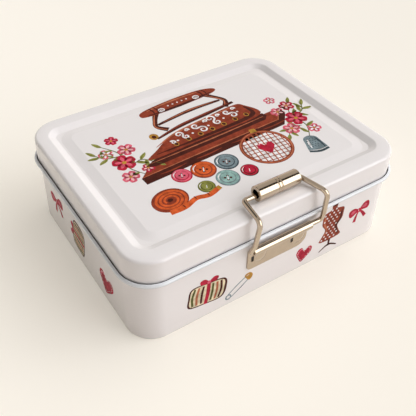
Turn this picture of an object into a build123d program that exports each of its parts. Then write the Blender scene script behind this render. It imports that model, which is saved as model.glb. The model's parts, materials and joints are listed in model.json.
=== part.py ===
"""Hinged sewing tin of pressed tinplate with a riveted wire clasp, in millimetres.

+X runs along the front, +Y to the back where the hinges are, +Z is up.
The origin is on the table, under the middle of the tin.
"""

from build123d import *
from math import cos, radians, sin, sqrt
import os

# Tin
LID_LENGTH = 190.0  # across the lid's skirt, left to right
LID_WIDTH = 147.0  # across the lid's skirt, front to back
TIN_HEIGHT = 64.0  # table to the top of the lid's border
LID_CORNER = 18.5  # corner radius of the skirt in plan
SHEET = 0.3  # tinplate
LID_CLEARANCE = 0.8  # between the lid's skirt and the body's neck
LID_REST_GAP = 0.3  # between the body's top curl and the underside of the lid

# Lid pressing
CURL_DROP = 16.4  # lid top to the middle of the rim curl
RIM_CURL = 2.5  # outside diameter of the lid's rim curl
SHOULDER_RADIUS = 2.0  # between lid top and skirt
BORDER_SIDE = 8.6  # raised border at the two short sides
BORDER_FRONT = 9.9  # raised border at front and back
RECESS_CORNER = 9.6
RECESS_DEPTH = 2.25
RECESS_RUN = 4.5  # width of the slope down from the border
CREST_RADIUS = 2.0  # bend from the border to the slope
FOOT_BEND = 1.2  # bend from the slope to the recess floor
PANEL_SIDE = 12.4  # recess edge to the centre panel at the short sides
PANEL_FRONT = 11.1  # recess edge to the centre panel at front and back
PANEL_RISE = 0.95  # centre panel above the recess floor
PANEL_CORNER = 5.0
PANEL_RUN = 3.0  # width of the slope up to the panel

# Body
NECK_CURL = 2.2  # outside diameter of the body's inward top curl
CURL_WRAP = 286.0  # degrees that the edge of a curl is turned
FOOT_RADIUS = 1.4  # bend between wall and foot flange
FOOT_FLANGE = 4.0  # width of the foot flange from the wall's face
BASE_GAP = 0.1  # between the bottom plate's edge and the foot bend
BASE_LAND = 4.5  # width of the bottom plate's flat edge
BASE_RISE = 1.2  # step from that edge up to the middle
BASE_RUN = 2.4  # width of the step's slope
SEAM_WIDTH = 4.0  # dressed lock seam down the back
SEAM_HEIGHT = 0.2
SEAM_BOTTOM = 3.0
SEAM_TOP = 60.0

# Clasp plate
CLASP_SHEET = 0.8
PLATE_DROP = 16.2  # knuckle's axis to the plate's bottom edge
PLATE_TAB = 1.9  # how far the plate runs past the knuckle on the left
PLATE_TAB_DROP = 0.9  # knuckle's axis to the top of that tab
PLATE_LEFT_RADIUS = 2.5
PLATE_RIGHT_RADIUS = 7.0
KNUCKLE_LENGTH = 42.0
KNUCKLE_DIAMETER = 5.2
KNUCKLE_DROP = 8.0  # rim curl's middle to the knuckle's axis
KNUCKLE_WRAP = 292.0  # degrees of roll
LANCE_WIDTH = 2.0  # slot lanced through plate and wall at the left of each rivet
LANCE_HEIGHT = 4.4
LANCE_OFFSET = 5.4  # rivet's axis to the middle of its slot

# Clasp wire
WIRE = 3.1  # wire diameter
WIRE_GAP = 0.05  # between the wire and the bore that it bears on
CORNER_BEND = 2.1  # bend radii on the wire's centre line
KNEE_BEND = 6.0
SHOULDER_BEND = 4.2
BAIL_SIDE_PLAY = 3.2  # the bail has slid to the right by this much
BAIL_LOWER = (26.5, 0.0)  # half width at the lower corners, and how far they stand to the left
BAIL_KNEE = (25.0, 0.4)  # the same beside the rim curl
BAIL_SHOULDER = (23.7, 0.9)  # the same at the lid's shoulder
BAIL_TOP = (20.1, 3.0)  # the same at the roller
KNEE_GAP = 0.25  # wire to rim curl
KNEE_DROP = 0.7  # rim curl's middle to the knee
LEG_LEAN = 2.2  # from the knee out to the shoulder
BAIL_LID_GAP = 0.3  # wire to the top of the lid
STUB_LENGTH = 17.5  # wire end, from the top corner

# Clasp roller
ROLLER_LENGTH = 29.6
ROLLER_DIAMETER = 9.4
ROLLER_WALL = 2.0
ROLLER_SIDE_PLAY = 3.2  # the roller has slid to the right by this much
ROLLER_SET_BACK = 2.1  # border's inner edge to the roller's axis
ROLLER_LID_GAP = 0.2
ROLLER_SEAM = 0.25  # width and depth of the seam line along the barrel
ROLLER_LIP = 0.6  # rounding of the barrel's two ends
ROLLER_CHAMFER = 0.3  # at the mouths of the bore
WIRE_LEAN = 5.0  # degrees to the front at which the wire bears in the bore
RING_SPACING = 2.1  # between the two grooves round the barrel
RING_GROOVE = 1.2  # width of each groove
RING_DEPTH = 0.45

# Rivets: head diameter, head height, shank diameter, tail diameter, tail height
CLASP_RIVET = (9.0, 1.3, 3.6, 6.0, 0.7)
BODY_RIVET = (4.2, 1.0, 2.2, 3.6, 0.5)
LID_RIVET = (4.2, 1.0, 2.2, 3.6, 0.4)
CLASP_RIVET_SPACING = 29.0
CLASP_RIVET_DROP = 8.2  # knuckle's axis to the rivets
CLASP_RIVET_SHIFT = 0.5  # rivets to the right of the knuckle's middle
HINGE_RIVET_SPACING = 15.0

# Hinges
HINGE_SPREAD = 100.0  # between the two hinges
HINGE_SHEET = 0.8
LID_KNUCKLE = 8.0  # length of the middle knuckle
BODY_KNUCKLE = 8.0  # length of each outer knuckle
KNUCKLE_GAP = 0.15  # between neighbouring knuckles
PIN_DIAMETER = 2.0
PIN_GAP = 0.05  # pin to knuckle
PIN_HEAD = (3.2, 0.8)  # diameter and height of the peened ends
HINGE_CURL_GAP = 0.45  # rim curl to the hinge knuckles
HINGE_RAISE = 1.9  # rim curl's middle to the hinge axis
HINGE_WRAP = 268.0  # degrees of roll
LEAF_BEND = 1.2  # bend radius on the leaf's middle
LEAF_CORNER = 2.5
BODY_LEAF_RISE = 12.0  # flat part of the body leaf
BODY_LEAF_DROP = 5.6  # rim curl's middle to the end of that flat part
BODY_LEAF_LEAN = 56.0  # degrees that the body leaf leans out
BODY_RIVET_UP = 6.0  # leaf's bottom edge to its rivets
LID_LEAF_TOP = 3.0  # lid top to the leaf's top edge
LID_LEAF_RISE = 9.0  # wide part of the lid leaf
LID_RIVET_DOWN = 3.8  # leaf's top edge to its rivets

# Derived places
CURL_Z = TIN_HEIGHT - CURL_DROP
SKIRT_Y = LID_WIDTH / 2
CURL_Y = SKIRT_Y - SHEET + RIM_CURL  # outermost face of the rim curl
WALL_INSET = SHEET + LID_CLEARANCE
WALL_LENGTH = LID_LENGTH - 2 * WALL_INSET
WALL_WIDTH = LID_WIDTH - 2 * WALL_INSET
WALL_CORNER = LID_CORNER - WALL_INSET
WALL_Y = WALL_WIDTH / 2
NECK_Z = TIN_HEIGHT - SHEET - LID_REST_GAP

KNUCKLE_ROLL = (KNUCKLE_DIAMETER - CLASP_SHEET) / 2  # radius of the rolled sheet's middle
KNUCKLE_Y = -WALL_Y - KNUCKLE_DIAMETER / 2
KNUCKLE_Z = CURL_Z - KNUCKLE_DROP
BAIL_Z = KNUCKLE_Z + KNUCKLE_DIAMETER / 2 - CLASP_SHEET - WIRE / 2 - WIRE_GAP
CLASP_RIVET_X = [CLASP_RIVET_SHIFT + side * CLASP_RIVET_SPACING / 2 for side in (-1, 1)]
CLASP_RIVET_Z = KNUCKLE_Z - CLASP_RIVET_DROP

ROLLER_Y = -SKIRT_Y + BORDER_FRONT + ROLLER_SET_BACK
ROLLER_Z = TIN_HEIGHT + sqrt((ROLLER_DIAMETER / 2 + ROLLER_LID_GAP) ** 2 - ROLLER_SET_BACK**2)
STUB_OFFSET = (ROLLER_DIAMETER - WIRE) / 2 - ROLLER_WALL - WIRE_GAP
STUB_Y = ROLLER_Y - STUB_OFFSET * sin(radians(WIRE_LEAN))
STUB_Z = ROLLER_Z - STUB_OFFSET * cos(radians(WIRE_LEAN))

HINGE_ROLL = (PIN_DIAMETER + HINGE_SHEET) / 2 + PIN_GAP  # radius of the rolled sheet's middle
HINGE_Y = CURL_Y + HINGE_CURL_GAP + HINGE_ROLL + HINGE_SHEET / 2
HINGE_Z = CURL_Z + HINGE_RAISE
HINGE_WIDTH = LID_KNUCKLE + 2 * KNUCKLE_GAP + 2 * BODY_KNUCKLE
HINGES = {"left": -HINGE_SPREAD / 2, "right": HINGE_SPREAD / 2}
HINGE_RIVET_X = [x + side * HINGE_RIVET_SPACING / 2 for x in HINGES.values() for side in (-1, 1)]
BODY_LEAF_Z = CURL_Z - BODY_LEAF_DROP - BODY_LEAF_RISE
BODY_RIVET_Z = BODY_LEAF_Z + BODY_RIVET_UP
LID_LEAF_Z = TIN_HEIGHT - LID_LEAF_TOP
LID_RIVET_Z = LID_LEAF_Z - LID_RIVET_DOWN


def bent_sheet(start, heading, moves, sheet):
    """YZ section of bent sheet, followed along its middle from start (y, z) at a heading in degrees.

    A move (length, 0) is straight; (radius, angle) is a bend, to the left when the angle is positive.
    """
    edges = []
    ends = []
    y, z = start
    for size, angle in moves:
        along = Vector(cos(radians(heading)), sin(radians(heading)))
        left = Vector(-along.Y, along.X)
        here = Vector(y, z)
        if angle == 0:
            there = here + along * size
            edges += [Line(here + left * s, there + left * s) for s in (sheet / 2, -sheet / 2)]
        else:
            turn = 1 if angle > 0 else -1
            middle = here + left * (turn * size)
            first = heading - 90 * turn
            for s in (sheet / 2, -sheet / 2):
                edges.append(CenterArc(middle, size - turn * s, first, angle))
            last = radians(first + angle)
            there = middle + Vector(cos(last), sin(last)) * size
            heading += angle
        if not ends:
            ends.append((here, left))
        y, z = there.X, there.Y
    ends.append((there, Vector(-sin(radians(heading)), cos(radians(heading)))))
    edges += [Line(at + side * (sheet / 2), at - side * (sheet / 2)) for at, side in ends]
    return make_face([Plane.YZ * edge for edge in edges])


def ring(section, length, width, corner):
    """Carry a YZ section round a rounded rectangle; the section stands on the side at +Y."""
    x = length / 2 - corner
    y = width / 2 - corner
    long_side = Pos(-x, 0, 0) * extrude(section, 2 * x, dir=(1, 0, 0))
    turned = Rot(0, 0, -90) * Pos(0, -width / 2, 0) * section
    short_side = Pos(length / 2, y, 0) * extrude(turned, 2 * y, dir=(0, -1, 0))
    bend = revolve(Pos(x, 0, 0) * section, Axis((x, y, 0), (0, 0, 1)), -90)
    half = [long_side, bend, short_side, mirror(bend, Plane.XZ)]
    return Part() + half + [Rot(0, 0, 180) * piece for piece in half]


def sheet_along(section, x, length):
    """Bent sheet of one length along X, centred on x."""
    return Pos(x - length / 2, 0, 0) * extrude(section, length, dir=(1, 0, 0))


def round_ends(part, z, radius):
    """Round the corners of a leaf's free edge at z."""
    corners = part.edges().filter_by(Axis.Y).filter_by(lambda edge: abs(edge.center().Z - z) < 0.01)
    return fillet(corners, radius)


def rounded_block(length, width, corner, z, height):
    """Flat block with rounded corners in plan, its underside at z."""
    return Pos(0, 0, z) * extrude(RectangleRounded(length, width, corner), height)


def tapered_block(length, width, corner, z, run, height):
    """Block on a rounded rectangle at z whose sides lean in by run over a signed height."""
    lower = Pos(0, 0, z) * RectangleRounded(length, width, corner)
    upper = Pos(0, 0, z + height) * RectangleRounded(length - 2 * run, width - 2 * run, corner - run)
    return loft([lower.face(), upper.face()], ruled=True)


def level_edges(part, z):
    """Edges that lie flat at one height."""
    def flat(edge):
        box = edge.bounding_box()
        return abs(box.min.Z - z) < 1e-3 and abs(box.max.Z - z) < 1e-3
    return part.edges().filter_by(flat)


def inner_edges(part, z, length):
    """Level edges inside the given length."""
    return level_edges(part, z).filter_by(lambda edge: edge.bounding_box().max.X < length / 2 + 0.01)


def lid_form(inset):
    """Lid pressing as a solid block, shrunk by inset at the sides and lowered by it on top."""
    top = TIN_HEIGHT - inset
    floor = top - RECESS_DEPTH
    recess_length = LID_LENGTH - 2 * BORDER_SIDE
    recess_width = LID_WIDTH - 2 * BORDER_FRONT
    length = LID_LENGTH - 2 * inset
    width = LID_WIDTH - 2 * inset
    block = rounded_block(length, width, LID_CORNER - inset, CURL_Z, top - CURL_Z)
    block = fillet(level_edges(block, top), SHOULDER_RADIUS - inset)
    block -= tapered_block(recess_length, recess_width, RECESS_CORNER, top, RECESS_RUN, -RECESS_DEPTH)
    block += tapered_block(
        recess_length - 2 * (PANEL_SIDE - PANEL_RUN),
        recess_width - 2 * (PANEL_FRONT - PANEL_RUN),
        PANEL_CORNER + PANEL_RUN,
        floor,
        PANEL_RUN,
        PANEL_RISE,
    )
    block = fillet(inner_edges(block, top, recess_length), CREST_RADIUS - inset)
    return fillet(inner_edges(block, floor, recess_length), FOOT_BEND + inset)


def rivet(x, y, z, outward, grip, sizes):
    """Domed rivet through a grip of sheet; its head sits at y and points outward (+1 or -1)."""
    head, rise, shank, tail, tail_rise = sizes
    head, shank, tail = head / 2, shank / 2, tail / 2
    dome = (head**2 + rise**2) / (2 * rise)
    middle = dome - sqrt(dome**2 - (head / 2) ** 2)
    outline = [
        ThreePointArc((0, rise), (head / 2, rise - middle), (head, 0)),
        Line((head, 0), (shank, 0)),
        Line((shank, 0), (shank, -grip)),
        Line((shank, -grip), (tail, -grip)),
        Line((tail, -grip), (tail * 0.6, -grip - tail_rise)),
        Line((tail * 0.6, -grip - tail_rise), (0, -grip - tail_rise)),
        Line((0, -grip - tail_rise), (0, rise)),
    ]
    turned = revolve(make_face(outline), Axis.Y)
    return Pos(x, y, z) * (turned if outward > 0 else mirror(turned, Plane.XZ))


def holes(part, xs, y, z, diameter, depth):
    """Drill round holes along Y through part, centred on y."""
    for x in xs:
        part -= Pos(x, y, z) * Rot(90, 0, 0) * Cylinder(diameter / 2, depth)
    return part


def lance(part):
    """Cut the upright slots beside the clasp's rivets."""
    outline = SlotOverall(LANCE_HEIGHT, LANCE_WIDTH, rotation=90)
    slot = Rot(90, 0, 0) * extrude(outline, CLASP_SHEET + SHEET, both=True)
    for x in CLASP_RIVET_X:
        part -= Pos(x - LANCE_OFFSET, -WALL_Y, CLASP_RIVET_Z) * slot
    return part


def make_body_wall():
    roll = (NECK_CURL - SHEET) / 2
    foot = FOOT_RADIUS - SHEET / 2
    rise = NECK_Z - NECK_CURL / 2 - FOOT_RADIUS
    section = bent_sheet(
        (WALL_Y - FOOT_FLANGE, SHEET / 2),
        0,
        [(FOOT_FLANGE - FOOT_RADIUS, 0), (foot, 90), (rise, 0), (roll, CURL_WRAP)],
        SHEET,
    )
    wall = ring(section, WALL_LENGTH, WALL_WIDTH, WALL_CORNER)
    seam = Box(SEAM_WIDTH, 2 * SEAM_HEIGHT, SEAM_TOP - SEAM_BOTTOM)
    wall += Pos(0, WALL_Y, (SEAM_BOTTOM + SEAM_TOP) / 2) * seam
    wall = lance(wall)
    wall = holes(wall, CLASP_RIVET_X, -WALL_Y, CLASP_RIVET_Z, CLASP_RIVET[2], 2)
    return holes(wall, HINGE_RIVET_X, WALL_Y, BODY_RIVET_Z, BODY_RIVET[2], 2)


def make_bottom_plate():
    """Pressed plate that lies on the foot flange and steps up to its middle."""
    edge = FOOT_RADIUS + BASE_GAP
    length = WALL_LENGTH - 2 * edge
    width = WALL_WIDTH - 2 * edge
    corner = WALL_CORNER - edge

    step = [length - 2 * BASE_LAND, width - 2 * BASE_LAND, corner - BASE_LAND]
    upper = tapered_block(*step, 2 * SHEET, BASE_RUN, BASE_RISE)
    lower = tapered_block(*step, SHEET, BASE_RUN, BASE_RISE)
    return rounded_block(length, width, corner, SHEET, SHEET) + upper - lower


def make_lid():
    roll = (RIM_CURL - SHEET) / 2
    start = (SKIRT_Y - SHEET / 2, CURL_Z)
    curl = bent_sheet(start, -90, [(roll, CURL_WRAP)], SHEET)
    lid = lid_form(0) - lid_form(SHEET) + ring(curl, LID_LENGTH, LID_WIDTH, LID_CORNER)
    return holes(lid, HINGE_RIVET_X, SKIRT_Y, LID_RIVET_Z, LID_RIVET[2], 2)


def make_clasp_plate():
    """Stamped plate on the front wall with its top edge rolled into the wire's knuckle."""
    section = bent_sheet(
        (-WALL_Y - CLASP_SHEET / 2, KNUCKLE_Z - PLATE_DROP),
        90,
        [(PLATE_DROP, 0), (KNUCKLE_ROLL, KNUCKLE_WRAP)],
        CLASP_SHEET,
    )
    plate = sheet_along(section, 0, KNUCKLE_LENGTH)
    tab_height = PLATE_DROP - PLATE_TAB_DROP
    tab = Box(2 * PLATE_TAB, CLASP_SHEET, tab_height, align=(Align.CENTER, Align.MAX, Align.MIN))
    plate += Pos(-KNUCKLE_LENGTH / 2, -WALL_Y, KNUCKLE_Z - PLATE_DROP) * tab
    corners = plate.edges().filter_by(Axis.Y).group_by(Axis.Z)[0].sort_by(Axis.X)
    plate = fillet(corners[:1], PLATE_LEFT_RADIUS)
    corners = plate.edges().filter_by(Axis.Y).group_by(Axis.Z)[0].sort_by(Axis.X)
    plate = fillet(corners[-1:], PLATE_RIGHT_RADIUS)
    plate = lance(plate)
    return holes(plate, CLASP_RIVET_X, -WALL_Y, CLASP_RIVET_Z, CLASP_RIVET[2], 3)


def make_clasp_bail():
    """Bent wire: along the knuckle, up past the rim curl, over the lid and into the roller's two ends."""
    knee_y = -CURL_Y - KNEE_GAP - WIRE / 2
    shoulder_z = TIN_HEIGHT + BAIL_LID_GAP + WIRE / 2

    def leg(side):
        lower, knee, shoulder, top = [
            side * half - left for half, left in (BAIL_LOWER, BAIL_KNEE, BAIL_SHOULDER, BAIL_TOP)
        ]
        return [
            (lower, KNUCKLE_Y, BAIL_Z),
            (knee, knee_y, CURL_Z - KNEE_DROP),
            (shoulder, knee_y - LEG_LEAN, shoulder_z),
            (top, STUB_Y, STUB_Z),
            (top - side * STUB_LENGTH, STUB_Y, STUB_Z),
        ]

    bends = [CORNER_BEND, SHOULDER_BEND, KNEE_BEND, CORNER_BEND]
    line = FilletPolyline(*reversed(leg(-1)), *leg(1), radius=bends + bends[::-1])
    wire = sweep(Plane(line ^ 0) * Circle(WIRE / 2), path=line)
    return Pos(BAIL_SIDE_PLAY, 0, 0) * wire


def make_clasp_roller():
    """Thick-walled barrel, a raised bead between two grooves round its middle and a seam underneath."""
    outer = ROLLER_DIAMETER / 2
    bore = outer - ROLLER_WALL
    barrel = Cylinder(outer, ROLLER_LENGTH)
    barrel = fillet(barrel.edges().filter_by(GeomType.CIRCLE), ROLLER_LIP)
    barrel -= Cylinder(bore, ROLLER_LENGTH)
    mouths = barrel.edges().filter_by(GeomType.CIRCLE).filter_by(lambda edge: edge.radius < bore + 0.01)
    barrel = chamfer(mouths, ROLLER_CHAMFER)
    groove = (RING_GROOVE**2 / 4 + RING_DEPTH**2) / (2 * RING_DEPTH)
    for side in (-1, 1):
        barrel -= Pos(0, 0, side * RING_SPACING / 2) * Torus(outer - RING_DEPTH + groove, groove)
    barrel -= Pos(outer, 0, 0) * Box(2 * ROLLER_SEAM, ROLLER_SEAM, ROLLER_LENGTH)
    return Pos(ROLLER_SIDE_PLAY, ROLLER_Y, ROLLER_Z) * Rot(0, 90, 0) * barrel


def make_clasp_rivets():
    y = -WALL_Y - CLASP_SHEET
    grip = CLASP_SHEET + SHEET
    return [rivet(x, y, CLASP_RIVET_Z, -1, grip, CLASP_RIVET) for x in CLASP_RIVET_X]


def make_body_leaf(x):
    """Leaf on the back wall that leans out under the rim curl and rolls round the pin."""
    lean = radians(BODY_LEAF_LEAN)
    start = WALL_Y + HINGE_SHEET / 2
    out = HINGE_Y + HINGE_ROLL - start - 2 * LEAF_BEND * (1 - cos(lean))
    slope = out / sin(lean)
    risen = CURL_Z - BODY_LEAF_DROP + 2 * LEAF_BEND * sin(lean) + slope * cos(lean)
    section = bent_sheet(
        (start, BODY_LEAF_Z),
        90,
        [
            (BODY_LEAF_RISE, 0),
            (LEAF_BEND, -BODY_LEAF_LEAN),
            (slope, 0),
            (LEAF_BEND, BODY_LEAF_LEAN),
            (HINGE_Z - risen, 0),
            (HINGE_ROLL, HINGE_WRAP),
        ],
        HINGE_SHEET,
    )
    leaf = sheet_along(section, x, HINGE_WIDTH)
    notch_z = HINGE_Z - HINGE_ROLL - HINGE_SHEET / 2 - 3 * KNUCKLE_GAP
    notch = Box(LID_KNUCKLE + 2 * KNUCKLE_GAP, 10, 10, align=(Align.CENTER, Align.CENTER, Align.MIN))
    leaf -= Pos(x, HINGE_Y, notch_z) * notch
    leaf = round_ends(leaf, BODY_LEAF_Z, LEAF_CORNER)
    rivets = [x - HINGE_RIVET_SPACING / 2, x + HINGE_RIVET_SPACING / 2]
    return holes(leaf, rivets, WALL_Y, BODY_RIVET_Z, BODY_RIVET[2], 3)


def make_lid_leaf(x):
    """Leaf on the lid's skirt whose middle tongue rolls round the pin."""
    start = SKIRT_Y + HINGE_SHEET / 2
    drop = LID_LEAF_Z - HINGE_Z - HINGE_ROLL - LEAF_BEND
    tongue = bent_sheet(
        (start, LID_LEAF_Z),
        -90,
        [(drop, 0), (LEAF_BEND, 90), (HINGE_Y - start - LEAF_BEND, 0), (HINGE_ROLL, -HINGE_WRAP)],
        HINGE_SHEET,
    )
    wide = bent_sheet((start, LID_LEAF_Z), -90, [(LID_LEAF_RISE, 0)], HINGE_SHEET)
    leaf = sheet_along(wide, x, HINGE_WIDTH)
    leaf = round_ends(leaf, LID_LEAF_Z, LEAF_CORNER)
    leaf += sheet_along(tongue, x, LID_KNUCKLE)
    rivets = [x - HINGE_RIVET_SPACING / 2, x + HINGE_RIVET_SPACING / 2]
    return holes(leaf, rivets, SKIRT_Y, LID_RIVET_Z, LID_RIVET[2], 3)


def make_pin(x):
    """Pin through the three knuckles, both ends peened over."""
    head, rise = PIN_HEAD
    pin = Cylinder(PIN_DIAMETER / 2, HINGE_WIDTH)
    for side in (-1, 1):
        end = Cylinder(head / 2, rise)
        end = fillet(end.edges().sort_by(Axis.Z)[-1:], rise * 0.6)
        pin += Pos(0, 0, side * (HINGE_WIDTH + rise) / 2) * (end if side > 0 else Rot(180, 0, 0) * end)
    return Pos(x, HINGE_Y, HINGE_Z) * Rot(0, 90, 0) * pin


def make_hinge_rivets(face, z, sizes):
    y = face + HINGE_SHEET
    grip = HINGE_SHEET + SHEET
    return [rivet(x, y, z, 1, grip, sizes) for x in HINGE_RIVET_X]


parts = {
    "body_wall": make_body_wall(),
    "bottom_plate": make_bottom_plate(),
    "lid": make_lid(),
    "clasp_plate": make_clasp_plate(),
    "clasp_bail": make_clasp_bail(),
    "clasp_roller": make_clasp_roller(),
    "clasp_rivets": make_clasp_rivets(),
    "hinge_body_rivets": make_hinge_rivets(WALL_Y, BODY_RIVET_Z, BODY_RIVET),
    "hinge_lid_rivets": make_hinge_rivets(SKIRT_Y, LID_RIVET_Z, LID_RIVET),
}
for side, x in HINGES.items():
    parts[f"hinge_{side}_body_leaf"] = make_body_leaf(x)
    parts[f"hinge_{side}_lid_leaf"] = make_lid_leaf(x)
    parts[f"hinge_{side}_pin"] = make_pin(x)

os.makedirs("parts", exist_ok=True)
for node, shape in parts.items():
    solids = shape if isinstance(shape, list) else [shape]
    export_step(Compound([solid for piece in solids for solid in piece.solids()]), f"parts/{node}.step")
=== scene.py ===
import json
from functools import cache
from math import atan2, cos, degrees, pi, radians, sin, sqrt, tan
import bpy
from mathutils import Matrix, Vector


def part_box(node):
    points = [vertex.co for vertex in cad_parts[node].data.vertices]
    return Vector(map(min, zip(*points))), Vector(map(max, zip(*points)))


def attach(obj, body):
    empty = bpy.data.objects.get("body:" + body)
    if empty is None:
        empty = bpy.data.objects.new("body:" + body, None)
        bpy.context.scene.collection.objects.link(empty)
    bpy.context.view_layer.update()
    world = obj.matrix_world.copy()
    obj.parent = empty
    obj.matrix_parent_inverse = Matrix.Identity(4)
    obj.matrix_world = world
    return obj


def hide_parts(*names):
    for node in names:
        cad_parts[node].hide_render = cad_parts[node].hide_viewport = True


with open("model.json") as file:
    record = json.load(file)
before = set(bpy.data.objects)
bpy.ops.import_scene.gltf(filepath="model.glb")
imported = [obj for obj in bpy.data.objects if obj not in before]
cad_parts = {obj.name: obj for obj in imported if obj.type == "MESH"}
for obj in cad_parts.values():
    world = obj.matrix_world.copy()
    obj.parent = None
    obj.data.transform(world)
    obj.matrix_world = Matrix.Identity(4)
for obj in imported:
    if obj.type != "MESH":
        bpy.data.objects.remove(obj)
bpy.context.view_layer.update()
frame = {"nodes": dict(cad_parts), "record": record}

from types import SimpleNamespace

import bmesh
import bpy
from bpy.props import FloatProperty, FloatVectorProperty, IntProperty, PointerProperty
from mathutils import Vector
from mathutils.geometry import tessellate_polygon

bl_info = {
    "name": "Hinged sewing tin",
    "version": (1, 0, 0),
    "blender": (4, 5, 0),
    "location": "View3D > Sidebar > Tin",
    "description": "Lacquered tinplate box with a wire clasp, its print and a plain stage",
    "category": "Object",
}

MM = 0.001

# Meshes; lengths without MM are in millimetres
SMOOTH_ANGLE, CAD_SMOOTH_ANGLE = 32, 30  # degrees; edges that turn more stay sharp
MERGE_DISTANCE = 0.001 * MM
FOOT_TOP = 10 * MM  # no lining faces down below this height
LEAN_IN, LEAN_UPRIGHT, LEAN_DOWN = 0.2, 0.5, 0.3  # parts of a face's normal that make it lining
RELIEF_DEPTH = 0.1 * MM  # full height of a finish's relief
SEAM_BEVEL, SEAM_EDGE = 0.3, 0.4  # the lock seam's sloped sides: width, and share of the rise below
PEG_STEPS, PEG_REACH = 8, 1.0  # facets in a slot's round end, and how far a peg passes the wall
BEYOND = 20.0  # any reach past a bend, to give its run a direction
INK_STEP = 0.012  # one layer of ink, thicker than the real one so that layers stay apart
INK_ROOT = 0.02  # how far ink reaches into the face below
WASH_RANGE = (0.62, 1.28)  # an ink's colour where it pooled and where it ran thin

# Studio: light levels at which a white matt face looks white, and the tone of the ceiling by height
SKY_LIGHT = 0.84
SKY_TINT = "fdfaf6"
LAMPS = (  # name, direction to the light, strength, colour, width in degrees, whether only mirrors see it
    ("key_light", (0.692, -0.692, 0.208), 0.42, "f7f8ff", 58.0, False),
    ("front_light", (0.612, -0.612, 0.5), 1.48, "f7f8ff", 58.0, False),
    ("side_light", (0.866, 0.0, 0.5), 1.04, "ffffff", 58.0, False),
    ("top_light", (0.5, 0.0, 0.866), 0.54, "ffffff", 58.0, False),
    ("strip_light", (0.514, -0.733, 0.446), 1.7, "ffffff", 54.0, True),
)
FLOOR_REACH = 6.0  # half the floor's side in metres
FLOOR_GLOW = 0.35  # share of the floor's plain colour that stays in the shadow
CEILING = ((0.22, "f0e8de"), (0.5, "d6d0ca"), (1.0, "cac5bf"))
CEILING_GAPS = (  # dark places overhead: direction, cosines of the soft edge, light that is left
    ((0.514, -0.159, 0.843), 0.972, 0.990, 0.08),
    ((-0.10, 0.54, 0.836), 0.90, 0.97, 0.10),
)
CAMERA_ANGLES = (-32.17, 38.19)  # round the tin from its front, and down, in degrees
CAMERA_PLACE = (-0.1843, -0.2642, 0.2990)
CAMERA_SENSOR, CAMERA_LENS = 36.0, 54.5
CAMERA_SHIFT = (0.0514, -0.1123)
CAMERA_RANGE = (0.01, 20.0)


def colour(text):
    """Linear colour from an sRGB hex value such as "e9e5e2"."""
    channels = [int(text[i:i + 2], 16) / 255 for i in (0, 2, 4)]
    return tuple(c / 12.92 if c <= 0.04045 else ((c + 0.055) / 1.055) ** 2.4 for c in channels) + (1.0,)


# ---- user settings


def size(name, default, text):
    """A length property from a value in millimetres."""
    return FloatProperty(name=name, default=default * MM, description=text, unit="LENGTH", subtype="DISTANCE")


def paint(name, text, default):
    """A colour property from a hex value."""
    return FloatVectorProperty(
        name=name, default=colour(default), size=4, subtype="COLOR", min=0, max=1, description=text,
    )


class TinSizes(bpy.types.PropertyGroup):
    """Sizes of the pressings, on the outer face of the sheet."""
    sheet: size("Sheet", 0.3, "Thickness of the tinplate")
    lid_corner: size("Lid corner", 18.5, "Plan radius of the lid's skirt")
    shoulder: size("Shoulder", 2.0, "Radius between lid top and skirt")
    border_side: size("Side border", 8.6, "Raised border at the short sides")
    border_front: size("Front border", 9.9, "Raised border at front and back")
    recess_corner: size("Recess corner", 9.6, "Plan radius of the recess")
    recess_depth: size("Recess depth", 2.25, "Border to recess floor")
    recess_run: size("Recess slope", 4.5, "Width of the slope down from the border")
    crest: size("Crest bend", 2.0, "Bend from border to slope")
    foot: size("Foot bend", 1.2, "Bend from slope to floor")
    panel_side: size("Panel side margin", 12.4, "Recess edge to panel at the short sides")
    panel_front: size("Panel front margin", 11.1, "Recess edge to panel at front and back")
    panel_rise: size("Panel rise", 0.95, "Panel above the recess floor")
    panel_corner: size("Panel corner", 5.0, "Plan radius of the panel")
    panel_run: size("Panel slope", 6.4, "Width of the slope up to the panel")
    rim_curl: size("Rim curl", 2.5, "Outside diameter of the lid's rim curl")
    curl_drop: size("Curl drop", 16.4, "Lid top to the middle of the rim curl")
    # painted shade: height of the dark band on the skirt above the middle of the rim curl
    rim_fold: size("Rim fold", 0.9, "Dark edge behind the rim curl")
    neck_curl: size("Neck curl", 2.2, "Outside diameter of the body's top curl")
    foot_radius: size("Foot radius", 1.4, "Bend between wall and foot flange")
    foot_flange: size("Foot flange", 4.0, "Width of the foot flange")
    curl_wrap: FloatProperty(
        name="Curl wrap", default=radians(286), subtype="ANGLE", description="Turn of a curled edge",
    )
    lance_offset: size("Slot offset", 5.4, "Rivet to the slot beside it, on centres")
    lance_width: size("Slot width", 2.0, "Slot lanced through plate and wall")
    lance_height: size("Slot height", 4.4, "Height of that slot")
    seam_width: size("Seam width", 4.0, "Lock seam down the back")
    seam_rise: size("Seam rise", 0.2, "Lock seam above the wall")
    seam_bottom: size("Seam bottom", 3.0, "Lower end of the lock seam")
    seam_top: size("Seam top", 60.0, "Upper end of the lock seam")
    corner_steps: IntProperty(
        name="Corner steps", default=20, min=4, max=64, description="Facets in each rounded corner",
    )


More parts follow.
